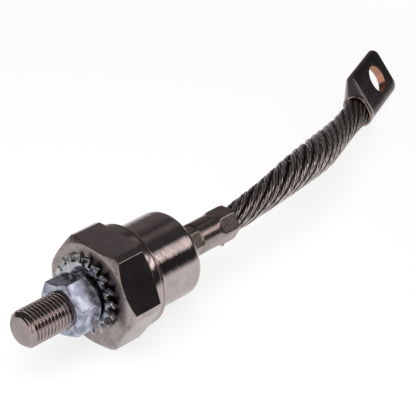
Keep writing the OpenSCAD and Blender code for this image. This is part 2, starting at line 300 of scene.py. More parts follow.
# %% Where the plate is dull or burnt, and where shade is painted on it
SEAT_R, SEAT_SLOPE = 13.3, np.tan(np.radians(35))
WELD_X = 12.1
PAINTED_SHADE_SIDE, PAINTED_SHADE_TONE = (0.0, -0.77, 0.64), (0.10, 0.075, 0.066)
BURNT_TONE = (0.30, 0.15, 0.10)


def seat_face(place):
    """1 on the flat seat and on the cone round it, and 0 on the stud.

    The cone is x = slope (r - seat radius), and inside that radius x = 0.
    """
    r = axis_distance(place)
    surface = ((r - SEAT_R * MM) * SEAT_SLOPE).at_least(0.0)
    past = (place.along("X") - surface).ramp_mm(0.03, 0.12)
    return (1 - past) * r.ramp_mm(5.2, 5.6)


def painted_shade_by_washer(place):
    """Painted shade: 1 beside the washer, up and to the right, and less towards the seat's edge."""
    near_edge = axis_distance(place).ramp_mm(11.0, 13.8)
    return place.dot(*PAINTED_SHADE_SIDE).ramp_mm(4.5, 8.5) * (1 - near_edge)


def weld_seam(place):
    """1 along the weld between ring and can, which heat has turned brown."""
    x = place.along("X")
    return x.ramp_mm(WELD_X - 0.25, WELD_X - 0.05) * (1 - x.ramp_mm(WELD_X + 0.05, WELD_X + 0.3))


# %% Nickel plate, for the base, the ring, the can and the tube
NICKEL, TUBE_TINT = (0.50, 0.435, 0.428), (0.40, 0.333, 0.318)


def nickel(name, tint, rough, rings=0.35, ring_scale=4200.0, grain=0.25, satin=None, seam=None):
    """Bright plate with lathe rings and grain.

    It is duller and pitted where satin is 1, with painted shade beside the washer there, and brown
    where seam is 1.
    """
    material, shader, place = finish(name, Metallic=1.0)
    clouds = place.noise(260.0, detail=4.0)
    fine = place.noise(5200.0, detail=2.0)
    ring_marks = lathe_rings(place, ring_scale)
    spots = place.noise(900.0, detail=5.0, rough=0.6).ramp(0.66, 0.74)
    colour = clouds.ramp(0.35, 0.65).mix(darker(tint, 0.84), tint)
    colour = spots.mix(colour, darker(tint, 0.55))
    gloss = rough + 0.10 * (clouds - 0.5) + 0.12 * (fine - 0.5) + 0.08 * (ring_marks - 0.5)
    if satin:
        face = satin(place)
        pits = place.noise(1250.0, detail=4.0, rough=0.7).ramp(0.56, 0.63)
        stains = place.noise(330.0, detail=3.0).ramp(0.50, 0.72)
        dirt = (0.75 * pits + 0.25 * stains).clamp() * face
        colour = dirt.mix(colour, darker(tint, 0.2))
        # Painted shade: a dark brown patch on the seat beside the washer, up and to the right.
        colour = (0.85 * painted_shade_by_washer(place) * face).mix(colour, PAINTED_SHADE_TONE)
        gloss = gloss + 0.17 * face
    if seam:
        colour = (0.6 * seam(place)).mix(colour, BURNT_TONE)
    feed(shader, {"Base Color": colour, "Roughness": gloss,
                  "Normal": relief(rings * ring_marks + grain * fine, strength=0.25, depth=0.02)})
    return material


base_nickel = nickel("nickel base", NICKEL, rough=0.14, satin=seat_face)
ring_nickel = nickel("nickel ring", NICKEL, rough=0.15, rings=1.0, seam=weld_seam)
can_nickel = nickel("nickel can", NICKEL, rough=0.10, rings=24.0, ring_scale=1900.0, seam=weld_seam)
tube_nickel = nickel("nickel tube", TUBE_TINT, rough=0.24, rings=3.0, grain=3.0)
print("nickel finishes ready")

# %% Zinc plate, for the nut and the washer
STAIN_AND_SHADE_TONE = (0.15, 0.155, 0.14)


def zinc(name, dull, bright, stain_and_shade=None):
    """Cloudy plate with a fine grain; darker in patches where the stain_and_shade mask is 1."""
    material, shader, place = finish(name, Metallic=1.0)
    clouds = place.noise(420.0, detail=6.0, rough=0.6)
    fine = place.noise(3800.0, detail=3.0)
    colour = clouds.ramp(0.38, 0.62).mix(dull, bright)
    if stain_and_shade:
        patchy = stain_and_shade(place) * place.noise(900.0).ramp(0.30, 0.55)
        colour = patchy.mix(colour, STAIN_AND_SHADE_TONE)
    feed(shader, {
        "Base Color": colour,
        "Roughness": 0.14 + 0.18 * (clouds - 0.4).clamp() + 0.10 * (fine - 0.5),
        "Normal": relief(clouds + 0.3 * fine, strength=0.20, depth=0.05),
    })
    return material


nut_zinc = zinc("zinc nut", dull=(0.29, 0.315, 0.41), bright=(0.64, 0.67, 0.80))
print("zinc finish ready")


# %% [markdown]
# ## The flexible lead
#
# The lead is a rope: twelve strands of fine tinned wire laid round a core. It
# could be one tube with a striped bump, but the strands make its outline, so
# each is a tube of its own. A strand's middle winds round the rope's route, and
# its section has one lobe for each wire, turned the other way as it goes.

# %% The route of the lead, in millimetres, and the pose of its lug
TUBE_END, CRIMP_AT = 48.1, 41.4
FREE_ROUTE = np.array([
    (53, 0.2, 0.3), (57.5, 0.6, 0.6), (62.5, 1, 0.9), (67, 1.6, 1.1),
    (72, 2.4, 1.2), (76.5, 3.3, 1.2), (81.5, 4.4, 0.9), (86, 5.6, 0.4),
    (90.5, 7, -0.3), (95, 8.6, -1), (99.5, 10.3, -1.7), (104, 12.1, -2.4),
    (108.5, 13.8, -3), (113, 15.5, -3.4), (117.5, 17.2, -3.7), (122, 18.9, -3.9)])
LUG_MOUTH = FREE_ROUTE[-1]
LUG_HEADING, LUG_DIP, LUG_ROLL = np.radians((22.0, 2.2, 52.5))
MOUTH_DEPTH, ROPE_IN_MOUTH = 1.0, 0.98


def turned(heading, dip, roll):
    """Axes of the lug: along it, across its palm, and out of its palm."""
    ch, sh, cd, sd = np.cos(heading), np.sin(heading), np.cos(dip), np.sin(dip)
    cr, sr = np.cos(roll), np.sin(roll)
    along = np.array((ch * cd, sh * cd, -sd))
    across = np.array((ch * sd * sr - sh * cr, sh * sd * sr + ch * cr, cd * sr))
    return along, across, np.cross(along, across)


LUG_ALONG, LUG_ACROSS, LUG_OUT = turned(LUG_HEADING, LUG_DIP, LUG_ROLL)
IN_TUBE = [(CRIMP_AT, 0, 0), ((CRIMP_AT + TUBE_END) / 2, 0, 0), (TUBE_END, 0, 0)]
ROUTE = np.vstack([IN_TUBE, FREE_ROUTE, LUG_MOUTH + ROPE_IN_MOUTH * MOUTH_DEPTH * LUG_ALONG])


def smooth_route(points, count):
    """Catmull-Rom curve: cubic between points, with (next - last) / 2 as slope."""
    n = len(points) - 1
    t = np.linspace(0, n, count)
    i = np.minimum(t.astype(int), n - 1)
    f = (t - i)[:, None]
    slope = np.gradient(points, axis=0)
    a, b, da, db = points[i], points[i + 1], slope[i], slope[i + 1]
    return ((2 * f**3 - 3 * f**2 + 1) * a + (f**3 - 2 * f**2 + f) * da
            + (3 * f**2 - 2 * f**3) * b + (f**3 - f**2) * db), t


STATIONS = 260
route, place_on_route = smooth_route(ROUTE, STATIONS)
steps = np.linalg.norm(np.diff(route, axis=0), axis=1)
run = np.concatenate([[0], np.cumsum(steps)])
print(f"lead: {run[-1]:.1f} mm from crimp to lug")

# %% How the rope's section changes along the route
ROPE_END_R, ROPE_MID_R, BULGE_SHIFT = 3.4, 4.65, 1.1
ROPE_AT_LUG, FLATTENS_FROM = (4.2, 2.95), 0.65
AT_TUBE_END, AT_LUG_MOUTH = 2, len(ROUTE) - 2
share = np.clip((place_on_route - AT_TUBE_END) / (AT_LUG_MOUTH - AT_TUBE_END), 0, 1)
rope_r = ROPE_END_R + (ROPE_MID_R - ROPE_END_R) * np.sin(np.pi * share**BULGE_SHIFT)**2
flat = np.clip((share - FLATTENS_FROM) / (1 - FLATTENS_FROM), 0, 1)**2
half_w = rope_r + (ROPE_AT_LUG[0] - rope_r) * flat
half_h = rope_r + (ROPE_AT_LUG[1] - rope_r) * flat
ahead = unit(np.gradient(route, axis=0))
rope_b = unit(np.cross(ahead, LUG_ACROSS))
rope_a = np.cross(rope_b, ahead)
print(f"rope: {2 * half_w.min():.1f} to {2 * half_w.max():.1f} mm wide")

# %% Wind the strands round the route
STRANDS, LAY_LENGTH, FIRST_TURN = 12, 52.0, 0.15
STRAND_SHARE, STRAND_HIGH, STRAND_WIDE = 0.205, 0.80, 1.12
FULLNESS, SLACK = 1.07, 0.045
TURN_WAVE, SIZE_WAVE = (6.0, 2.3), (9.0, 1.7)
OPENS_AT, OPENS_OVER = 7.0, 5.0
CLOSES_AT, CLOSES_OVER = 6.0, 30.0
strand_number = np.arange(STRANDS)[:, None]


def slow_wave(span, shift):
    """Sine of run / span along the rope, shifted from strand to strand."""
    return np.sin(run / span + shift * strand_number)


def strand_paths():
    """Middles of the strands, the way out of the rope there, and their radii.

    A middle lies at cos(q) across and sin(q) up, with q falling by one turn in
    each lay length, so the rope is laid left-handed. It is fuller where it is
    free of its two ends, and slow waves make each strand a little slack.
    """
    q = FIRST_TURN + 2 * np.pi * (strand_number / STRANDS - run / LAY_LENGTH)
    q = q + SLACK * slow_wave(*TURN_WAVE)
    opening = np.clip((run - OPENS_AT) / OPENS_OVER, 0, 1)
    closing = np.clip((run[-1] - CLOSES_AT - run) / CLOSES_OVER, 0, 1)
    free = opening * closing
    full = 1 + (FULLNESS - 1) * free
    mean_r = np.sqrt((half_w**2 + half_h**2) / 2)
    r = STRAND_SHARE * mean_r * (1 + SLACK * slow_wave(*SIZE_WAVE))
    out = np.cos(q)[..., None] * rope_a + np.sin(q)[..., None] * rope_b
    middle = (route + ((full * half_w - STRAND_HIGH * r) * np.cos(q))[..., None] * rope_a
              + ((full * half_h - STRAND_HIGH * r) * np.sin(q))[..., None] * rope_b)
    return middle, out, r


# %% Give the strands their wires
WIRES, WIRE_LAY, WIRE_SHIFT = 6, 20.0, 0.37
WIRE_DEPTH, WIRE_ROUNDING = 0.30, 0.8
WIRE_SLACK, WIRE_WAVE = 0.2, (3.1, 1.9)
OUTER_TO, OUTER_POINTS, INNER_POINTS = 110, 23, 5
HIGHLIGHT_FADES_FROM, HIGHLIGHT_FADES_OVER, HIGHLIGHT_FADES_BY = 0.75, 0.2, 0.5


def strand_section():
    """Angles round a strand: close together outside, far apart inside."""
    outside = np.radians(np.linspace(-OUTER_TO, OUTER_TO, OUTER_POINTS))
    inside = np.radians(np.linspace(OUTER_TO, 360 - OUTER_TO, INNER_POINTS)[1:-1])
    return np.concatenate([outside, inside])


def strand_skins(middle, out, r):
    """Lobed sections carried along the middles, and the painted light at each point.

    The section's radius is r (1 - d (1 - |cos(w g / 2)|^p)), where g turns the
    other way by one turn in each wire lay, so w wires show. It is pressed a
    little flat, lower out and wider sideways. The mark paints a highlight on
    each wire's crest and shade in its grooves, and the painted highlight fades
    near the lug.
    """
    going = unit(np.gradient(middle, axis=1))
    out = unit(out - (out * going).sum(-1, keepdims=True) * going)
    side = np.cross(going, out)
    g = strand_section()
    wire = g + 2 * np.pi * (run[:, None] / WIRE_LAY + WIRE_SHIFT * strand_number[..., None])
    wire = wire + WIRE_SLACK * slow_wave(*WIRE_WAVE)[..., None]
    lobe = np.abs(np.cos(WIRES * wire / 2))**WIRE_ROUNDING
    size = r[..., None] * (1 - WIRE_DEPTH * (1 - lobe))
    grid = (middle[:, :, None] + (STRAND_HIGH * size * np.cos(g))[..., None] * out[:, :, None]
            + (STRAND_WIDE * size * np.sin(g))[..., None] * side[:, :, None])
    # Painted light: each wire is bright on its crest and dark in its grooves, and the highlight fades
    # near the lug.
    dull = 1 - HIGHLIGHT_FADES_BY * np.clip((share - HIGHLIGHT_FADES_FROM) / HIGHLIGHT_FADES_OVER, 0, 1)
    return grid, dull[:, None] * lobe**2 * np.clip(np.cos(g), 0, 1)**2


strand_grid, strand_painted_light = strand_skins(*strand_paths())
print("strands:", strand_grid.shape)

# %% Add the core and join the rope into one piece
CORE_SIDES, CORE_SHARE = 24, 0.72
core_q = around(CORE_SIDES)[:, None]
core_grid = (route[:, None] + CORE_SHARE * half_w[:, None, None] * np.cos(core_q) * rope_a[:, None]
             + CORE_SHARE * half_h[:, None, None] * np.sin(core_q) * rope_b[:, None])


def join_tubes(tubes):
    """Faces of several tubes whose points follow each other in one list."""
    faces, start = [], 0
    for rows, columns in tubes:
        quads, ends = weave(rows, columns, False)
        faces += (quads + start).tolist() + [(end + start).tolist() for end in ends]
        start += rows * columns
    return faces


# The wire mark holds painted highlights on the wire crests and painted shade in the grooves.
rope = build(
    "rope_lead",
    np.concatenate([strand_grid.reshape(-1, 3), core_grid.reshape(-1, 3)]),
    join_tubes([strand_grid.shape[1:3]] * STRANDS + [core_grid.shape[:2]]),
    sharp=60.0,
    marks={"wire": np.concatenate([strand_painted_light.ravel(), np.zeros(core_grid.size // 3)])})

# %% Tinned wire for the rope
PAINTED_GROOVE_SHADE, PAINTED_WIRE_HIGHLIGHT = (0.115, 0.104, 0.103), (0.98, 0.89, 0.86)
material, shader, place = finish("tinned wire", Metallic=1.0)
painted_wire_light = place.node("Attribute", {"attribute_name": "wire"}, out="Fac")
tarnish = place.noise(650.0, detail=4.0).ramp(0.38, 0.62)
# Base Color paints the wires' highlights and the shade in their grooves; tarnish varies them at
# random.
shade = (painted_wire_light.ramp(0.10, 0.66) * (0.50 + 0.50 * tarnish)).clamp()
feed(shader, {
    "Base Color": shade.mix(PAINTED_GROOVE_SHADE, PAINTED_WIRE_HIGHLIGHT),
    "Roughness": 0.34 - 0.06 * shade,
    "Normal": relief(place.noise(7000.0, detail=2.0), strength=0.2, depth=0.02),
})
dress(rope, material, "tinned_copper", "flexible_lead")

# %% [markdown]
# ## Turned shapes
#
# The base, the ring and the can come off a lathe or a press, so each is a line
# of (x, radius) points carried round the axis. Sharp corners in that line are
# eased a little, because an edge only shows in a picture when it has some width
# to catch the light.


# %% Helpers for turned shapes
def lines_of(count, points):
    """Lines for `count` turns, of (x, radius) points that may differ by turn."""
    spread = [[np.broadcast_to(value, count) for value in point] for point in points]
    return np.stack([np.stack(point, -1) for point in spread], axis=1)


def lines_on(x, radius):
    """Lines that all have their points at these x, with a radius for each turn."""
    return np.stack(np.broadcast_arrays(x, radius), axis=-1)


def ease(line, reach, count=4):
    """Rounds each inner corner B of the line A-B-C with a parabola.

    The parabola (1-t)^2 P + 2 t (1-t) B + t^2 Q starts and ends on the two legs,
    at most `reach` from B and always before the middle of a leg.
    """
    a, b, c = line[..., :-2, :], line[..., 1:-1, :], line[..., 2:, :]

    def back(to):
        leg = to - b
        size = np.maximum(np.linalg.norm(leg, axis=-1, keepdims=True), 1e-9)
        return (b + leg * np.minimum(reach / size, 0.45))[..., None, :]

    t = np.linspace(0, 1, count)[:, None]
    curve = (1 - t)**2 * back(a) + 2 * t * (1 - t) * b[..., None, :] + t**2 * back(c)
    curve = curve.reshape(line.shape[:-2] + (-1, 2))
    return np.concatenate([line[..., :1, :], curve, line[..., -1:, :]], axis=-2)


def ease_ring(line, reach):
    """The same for a closed line, whose last point leads back to its first."""
    padded = np.concatenate([line[..., -1:, :], line, line[..., :1, :]], axis=-2)
    return ease(padded, reach)[..., 1:-1, :]


def carry(lines, turns):
    """Carries lines of (x, radius) round the axis, one line for each turn.

    A point goes to (x, r sin(turn), r cos(turn)), with the turn from straight up.
    """
    lines = np.broadcast_to(lines, (len(turns),) + lines.shape[-2:])
    x, r = lines[..., 0].T, lines[..., 1].T
    return np.stack([x, r * np.sin(turns), r * np.cos(turns)], axis=-1)


# %% Helpers for hexagons
EVEN_HALF = np.radians(30) * np.sin(np.linspace(0, np.pi / 2, 13))


def flats_from(first_flat):
    return np.radians(first_flat) + np.radians(60) * np.arange(6)


def hex_turns(first_flat, half=EVEN_HALF):
    """Turns round a hexagon, from those in half a flat: mirrored, then repeated."""
    within = np.concatenate([-half[:0:-1], half[:-1]])
    return (flats_from(first_flat)[:, None] + within).ravel()


def hex_radius(turns, first_flat, across_flats, crispness=110.0):
    """Distance to a hexagon's side: (af / 2) / max cos, with softened corners.

    The greatest cosine over the six flats is taken as a high power mean.
    """
    cosines = np.clip(np.cos(turns[:, None] - flats_from(first_flat)), 0, None)
    return across_flats / 2 * (cosines**crispness).sum(1)**(-1 / crispness)


def softer_of(a, b, crispness=400.0):
    """The smaller of two radii, a (1 + (a / b)^k)^(-1/k), which changes softly."""
    return a * (1 + (a / b)**crispness)**(-1 / crispness)


# %% [markdown]
# ## The stud base
#
# The base is one piece of plated copper: hexagon bar, turned at both ends, with
# a rolled thread on its stud. The thread could be a bump, but its crests stand
# out against the light, so it is cut into the surface: the radius falls from
# each crest to the root with the distance from the helix.

# %% The thread
STUD_R, PITCH = 9.525 / 2, 1.058
THREAD_DEPTH = 0.613 * PITCH
CREST_HALF, FLANK, STRAIGHT = 0.075, 0.345, 0.45


def smooth(t):
    """Smooth step 3 t^2 - 2 t^3, from 0 at 0 to 1 at 1."""
    return t * t * (3 - 2 * t)


def thread_fall(x, turns, gap=0.0):
    """How far the thread lies below its crest, at x and a turn about the axis.

    s is the distance from the nearest crest in pitches; the fall is 0 on the
    crest's land, then grows along the flank to the full depth at the root.
    """
    s = np.abs((x / PITCH + turns / (2 * np.pi) + 0.5) % 1.0 - 0.5)
    t = np.clip((s - CREST_HALF + gap) / FLANK, 0, 1)
    return THREAD_DEPTH * (STRAIGHT * t + (1 - STRAIGHT) * smooth(t))


print(f"thread: {THREAD_DEPTH:.2f} mm deep")

# %% The hexagon's outline and the whole line of the base
HEX_AF, HEX_H, CORNER_R = 27.0, 9.8, 15.095
RING_R, REGISTER_R, PEDESTAL_R, PEDESTAL_TOP = 13.5, 9.48, 8.5, 14.0
BACK_SLOPE, LEAST_CHAMFER, BASE_EASE = np.tan(np.radians(15)), 0.02, 0.22
SEAT_INNER_R = STUD_R - 0.6
LAND, SOFT = np.arccos(HEX_AF / 2 / CORNER_R), np.radians(0.6)
half_flat = np.concatenate([
    np.linspace(0, LAND - SOFT, 6)[:-1], LAND + np.linspace(-SOFT, SOFT, 7),
    np.linspace(LAND + SOFT, np.pi / 6, 4)[1:]])
turns = hex_turns(0.0, half_flat)
side_r = softer_of(hex_radius(turns, 0.0, HEX_AF, crispness=2000.0), CORNER_R, crispness=1200.0)
print("hexagon:", len(turns), "turns, corners at", round(side_r.max(), 2), "mm")


def base_lines():
    """One line for each turn, from the seat over the hexagon to the pedestal.

    The chamfers are cones, so where they meet the side depends on how far out
    the side lies at that turn.
    """
    front = np.maximum(side_r - SEAT_R, LEAST_CHAMFER) * SEAT_SLOPE
    rear = HEX_H - np.maximum(side_r - RING_R, LEAST_CHAMFER) * BACK_SLOPE
    return ease(lines_of(len(turns), [
        (0, SEAT_INNER_R), (0, SEAT_R), (front, side_r), (rear, side_r),
        (HEX_H, np.minimum(side_r, RING_R)), (HEX_H, REGISTER_R), (WELD_X, REGISTER_R),
        (WELD_X, PEDESTAL_R), (PEDESTAL_TOP, PEDESTAL_R)]), BASE_EASE)


# %% Cut the stud and lay the base down
# As many rows to a pitch as columns to a turn, so that the grid follows the helix
PER_TURN = 40
STUD_LEN, TIP_R, TIP_EASE = 22.0, 3.7, 0.06
STUD_FIRST, STUD_INTO_BASE = 0.12, 0.6
FADES_AT, FADES_OVER, NECK_FALL = -0.4, 0.8, 0.4
stud_turns = around(PER_TURN)
stud_x = np.arange(-STUD_LEN + STUD_FIRST, STUD_INTO_BASE, PITCH / PER_TURN)
chamfer_r = np.minimum(TIP_R + stud_x + STUD_LEN, STUD_R)
thread_r = STUD_R - thread_fall(stud_x, stud_turns[:, None])
fade = np.clip((FADES_AT - stud_x) / FADES_OVER, 0, 1)
stud_r = np.minimum(chamfer_r, fade * thread_r + (1 - fade) * (STUD_R - NECK_FALL))
tip = lines_of(PER_TURN, [(-STUD_LEN, TIP_R - TIP_EASE)])
stud_grid = carry(np.concatenate([tip, lines_on(stud_x, stud_r)], axis=1), stud_turns)
hex_grid = carry(base_lines(), turns)
base = build("stud_body", np.concatenate([stud_grid.reshape(-1, 3), hex_grid.reshape(-1, 3)]),
             join_tubes([stud_grid.shape[:2], hex_grid.shape[:2]]), sharp=28.0)
dress(base, base_nickel, "nickel_plate", "stud_base")

# %% [markdown]
# ## The nut
#
# A plain zinc-plated nut: a hexagon with a cone turned on both ends, so each
# flat ends in a curve. Its line runs out over the chamfer, along the flat, back
# over the other chamfer and home through the thread, which is the stud's own
# helix with a little room.

# %% Make the nut
NUT_AF, NUT_H, NUT_IN = 13.5, 7.4, -2.327
NUT_OUT = NUT_IN - NUT_H
NUT_FLAT, NUT_FACE_R, NUT_SLOPE, NUT_EASE = 20.0, 6.4, np.tan(np.radians(30)), 0.16
NUT_MOUTH_R, SINK = STUD_R + 0.15, 0.25
BORE_ROWS, BORE_ROOM, FLANK_ROOM, BORE_SHARE = 110, 0.05, 0.04, 0.86
nut_turns = hex_turns(NUT_FLAT)
nut_side = hex_radius(nut_turns, NUT_FLAT, NUT_AF)


def nut_lines():
    """Outside line of the nut for each turn, then its threaded, countersunk bore."""
    fall = (nut_side - NUT_FACE_R) * NUT_SLOPE
    outside = ease(lines_of(len(nut_turns), [
        (NUT_OUT, NUT_MOUTH_R), (NUT_OUT, NUT_FACE_R), (NUT_OUT + fall, nut_side),
        (NUT_IN - fall, nut_side), (NUT_IN, NUT_FACE_R), (NUT_IN, NUT_MOUTH_R)]), NUT_EASE)
    x = np.linspace(NUT_IN - SINK, NUT_OUT + SINK, BORE_ROWS)
    from_end = np.minimum(NUT_IN - SINK - x, x - NUT_OUT - SINK)
    sunk = np.maximum(NUT_MOUTH_R - SINK - from_end, 0)
    thread = BORE_SHARE * thread_fall(x, nut_turns[:, None], gap=FLANK_ROOM)
    bore = np.maximum(STUD_R + BORE_ROOM - thread, sunk)
    return np.concatenate([outside, lines_on(x, bore)], axis=1)


nut = lay("nut", carry(nut_lines(), nut_turns), ring=True, sharp=30.0)
dress(nut, nut_zinc, "zinc_plate", "hex_nut")

# %% [markdown]
# ## The toothed washer
#
# The washer is stamped from sheet steel, and its teeth are twisted so that they
# bite. It could be cut from a solid, but a stamping is a sheet: so its middle
# surface is a flat ring with teeth, bent by a formula, and Solidify gives the
# sheet its thickness.

# %% The washer's middle surface
TEETH, BORE_R, ROOT_R, TIP_TOOTH_R = 18, 5.7125, 8.2125, 10.2125
TWIST, TWIST_OVER = np.radians(30), 0.35
TOOTH_ROOT_W, TOOTH_TIP_W = 1.9, 2.2
RING_ROWS, TOOTH_ROWS = 4, 7
ON_TOOTH = np.array([-1, -0.5, 0, 0.5, 1])
IN_GAP = np.array([0.25, 0.5, 0.75])
COLUMNS = len(ON_TOOTH) + len(IN_GAP)


def washer_grid():
    """Middle surface of the washer, by column round it and row out from its bore.

    A tooth's point is r out, a across and up: a turns by the twist about the
    tooth's own middle line, and the twist grows from the root outwards.
    """
    width = TOOTH_ROOT_W / 2 / ROOT_R
    pitch = 2 * np.pi / TEETH
    offset = np.concatenate([ON_TOOTH * width, width + (pitch - 2 * width) * IN_GAP])
    middle = np.arange(TEETH) * pitch
    is_tooth = np.tile(np.arange(COLUMNS) < len(ON_TOOTH), TEETH)
    angle = (middle[:, None] + offset).ravel()
    centre = np.repeat(middle, COLUMNS)
    r = np.concatenate([np.linspace(BORE_R, ROOT_R, RING_ROWS),
                        np.linspace(ROOT_R, TIP_TOOTH_R, TOOTH_ROWS)[1:]])
    out = np.clip((r - ROOT_R) / (TIP_TOOTH_R - ROOT_R), 0, 1)
    bend = TWIST * np.clip(out / TWIST_OVER, 0, 1)
    half = (TOOTH_ROOT_W + (TOOTH_TIP_W - TOOTH_ROOT_W) * out) / 2
    beyond = out[None, :] > 0
    turn = np.where(beyond, centre[:, None], angle[:, None])
    sideways_share = np.tile(np.append(ON_TOOTH, 0 * IN_GAP), TEETH)
    a = np.where(beyond, sideways_share[:, None] * half, 0)
    radial = np.stack([0 * turn, np.sin(turn), -np.cos(turn)], -1)
    sideways = np.stack([0 * turn, np.cos(turn), np.sin(turn)], -1)
    points = (r[:, None] * radial + (a * np.cos(bend))[..., None] * sideways
              + (a * np.sin(bend))[..., None] * np.array((1.0, 0, 0)))
    return points, is_tooth


def washer_faces(is_tooth, rows):
    """Quads of the ring all round, and of the teeth only between their sides."""
    columns = len(is_tooth)
    index = np.arange(columns * rows).reshape(columns, rows)
    following = np.roll(index, -1, axis=0)
    quads = np.stack([index[:, :-1], following[:, :-1], following[:, 1:], index[:, 1:]], axis=-1)
    keep = np.ones(quads.shape[:2], bool)
    keep[:, RING_ROWS - 1:] = (is_tooth & np.roll(is_tooth, -1))[:, None]
    return quads[keep]


# %% Seat the washer on the stud and give it its thickness
SHEET, SHEET_EDGE = 0.8, 0.07
WASHER_X, WASHER_LEAN = -1.2549, np.radians(2)
WASHER_SHIFT = 0.9 * np.array((0, np.sin(np.radians(30)), np.cos(np.radians(30))))
sheet_points, is_tooth = washer_grid()
used, quads = np.unique(washer_faces(is_tooth, sheet_points.shape[1]), return_inverse=True)
lean = np.array([[np.cos(WASHER_LEAN), 0, np.sin(WASHER_LEAN)], [0, 1, 0],
                 [-np.sin(WASHER_LEAN), 0, np.cos(WASHER_LEAN)]])
sheet_points = sheet_points.reshape(-1, 3)[used] @ lean.T + (WASHER_X, 0, 0) + WASHER_SHIFT
washer = build("lock_washer", sheet_points, quads.reshape(-1, 4).tolist(), sharp=25.0)
solid = washer.modifiers.new("sheet", "SOLIDIFY")
solid.thickness, solid.offset = SHEET * MM, 0.0
edge = washer.modifiers.new("edges", "BEVEL")
edge.width, edge.segments = SHEET_EDGE * MM, 2
edge.limit_method, edge.angle_limit = "ANGLE", np.radians(40)


def teeth_stain_and_shade(place):
    """Stain on the teeth beyond the root circle, and painted shade that makes them darker towards the
    top.
    """
    from_middle = axis_distance(place.minus(WASHER_SHIFT * MM))
    # Painted shade: the teeth grow darker towards the top.
    height = place.along("Z").ramp_mm(1.0, 8.0)
    return (0.08 + 0.70 * height) * from_middle.ramp_mm(ROOT_R - 0.3, ROOT_R + 0.1)


washer_zinc = zinc("zinc washer", dull=(0.44, 0.46, 0.505), bright=(0.72, 0.74, 0.785),
                   stain_and_shade=teeth_stain_and_shade)
dress(washer, washer_zinc, "zinc_plate", "tooth_washer")

# %% [markdown]
# ## Weld ring, can and glass
#
# The ring is turned, and the can is drawn from sheet steel, with a flange that
# is welded to the ring and a neck turned in to hold the glass. All three are
# lines carried round the axis, as the base is.

# %% Make the weld ring
ROUND = around(160)
RING_BORE_R, RING_BEVEL, RING_EASE = 9.5, 0.25, 0.15
ring_line = np.array([
    (HEX_H, RING_BORE_R), (HEX_H, RING_R), (WELD_X - RING_BEVEL, RING_R),
    (WELD_X, RING_R - RING_BEVEL), (WELD_X, RING_BORE_R)])
ring = lay("ring", carry(ease_ring(ring_line, RING_EASE), ROUND), ring=True)
dress(ring, ring_nickel, "nickel_plate", "weld_ring")

# %% Make the can
CAN_R, CAN_TOP, CAN_WALL, CAN_EASE = 11.3, 27.8, 0.8, 0.18
FLANGE_R, FLANGE_X = 13.4, WELD_X + 0.65
SHOULDER_R, NECK_R, NECK_END = 2.0, 6.5, 25.4


def can_outline():
    """Section of the can: flange, wall, shoulder, neck, and back along the inside.

    The shoulder is a quarter circle, and the inside's is one of the same middle.
    """
    a = np.radians(np.linspace(0, 90, 7))[:, None]
    bend = np.concatenate([np.sin(a), np.cos(a)], axis=1)
    middle = np.array((CAN_TOP - SHOULDER_R, CAN_R - SHOULDER_R))
    flange = [(WELD_X, CAN_R - CAN_WALL), (WELD_X, FLANGE_R), (FLANGE_X, FLANGE_R)]
    fillet = [(FLANGE_X, CAN_R + 0.5), (FLANGE_X + 0.15, CAN_R + 0.15), (FLANGE_X + 0.5, CAN_R)]
    neck = [(CAN_TOP, NECK_R), (NECK_END, NECK_R), (NECK_END, NECK_R + CAN_WALL),
            (CAN_TOP - CAN_WALL, NECK_R + CAN_WALL)]
    inside = middle + (SHOULDER_R - CAN_WALL) * bend[::-2]
    return np.concatenate([flange, fillet, middle + SHOULDER_R * bend, neck, inside])


can = lay("can", carry(ease_ring(can_outline(), CAN_EASE), ROUND), ring=True)
dress(can, can_nickel, "nickel_plate", "cap")

# %% Make the glass seal, which sags a little between its two edges
GLASS_R, GLASS_BORE_R = 6.48, 4.32
GLASS_FOOT, GLASS_TOP, GLASS_SAG = 25.0, 27.6, 0.5
t = np.linspace(0, 1, 9)
seal_x = GLASS_TOP - GLASS_SAG * 4 * t * (1 - t)
seal_top = np.stack([seal_x, GLASS_R - (GLASS_R - GLASS_BORE_R) * t], -1)
seal_line = np.concatenate([[(GLASS_FOOT, GLASS_BORE_R), (GLASS_FOOT, GLASS_R)], seal_top])
seal = lay("seal", carry(seal_line, ROUND), ring=True)
material, shader, place = finish("seal glass")
speck = place.noise(1500.0, detail=3.0)
feed(shader, {"Base Color": speck.ramp(0.4, 0.7).mix((0.035, 0.055, 0.045), (0.07, 0.10, 0.085)),
              "Roughness": 0.12 + 0.1 * speck})
dress(seal, material, "seal_glass", "glass_seal")

# %% [markdown]
# ## The terminal tube
#
# A thick tube that was crimped twice in a hexagonal die: once on the lead from
# the junction, once on the rope. The die leaves flats with soft ends, and the
# metal swells out between its jaws. So the section changes along the tube from
# round to hexagon and back, and the radius is mixed by how deep the die went.

# %% The tube's radius along it
TUBE_R, CRIMP_FLAT = 4.3, 6.0
NEAR_AF, NEAR_STARTS, NEAR_ENDS = 7.7, (30.3, 30.8), (35.1, 35.6)
FAR_AF, FAR_STARTS = 8.3, (CRIMP_AT, 42.5)
SWELL, SWELLS, SHRINK, SHRINKS = 0.35, (41.6, 43.4), 0.12, (46.6, 47.9)
BURR_X, BURR_TURN = 43.6, np.radians(-144)
BURR_HIGH, BURR_LONG, BURR_WIDE = 0.45, 0.35, 0.004
tube_turns = hex_turns(CRIMP_FLAT)


def rise(x, start, end):
    """Smooth step from 0 at `start` to 1 at `end`."""
    return smooth(np.clip((x - start) / (end - start), 0, 1))


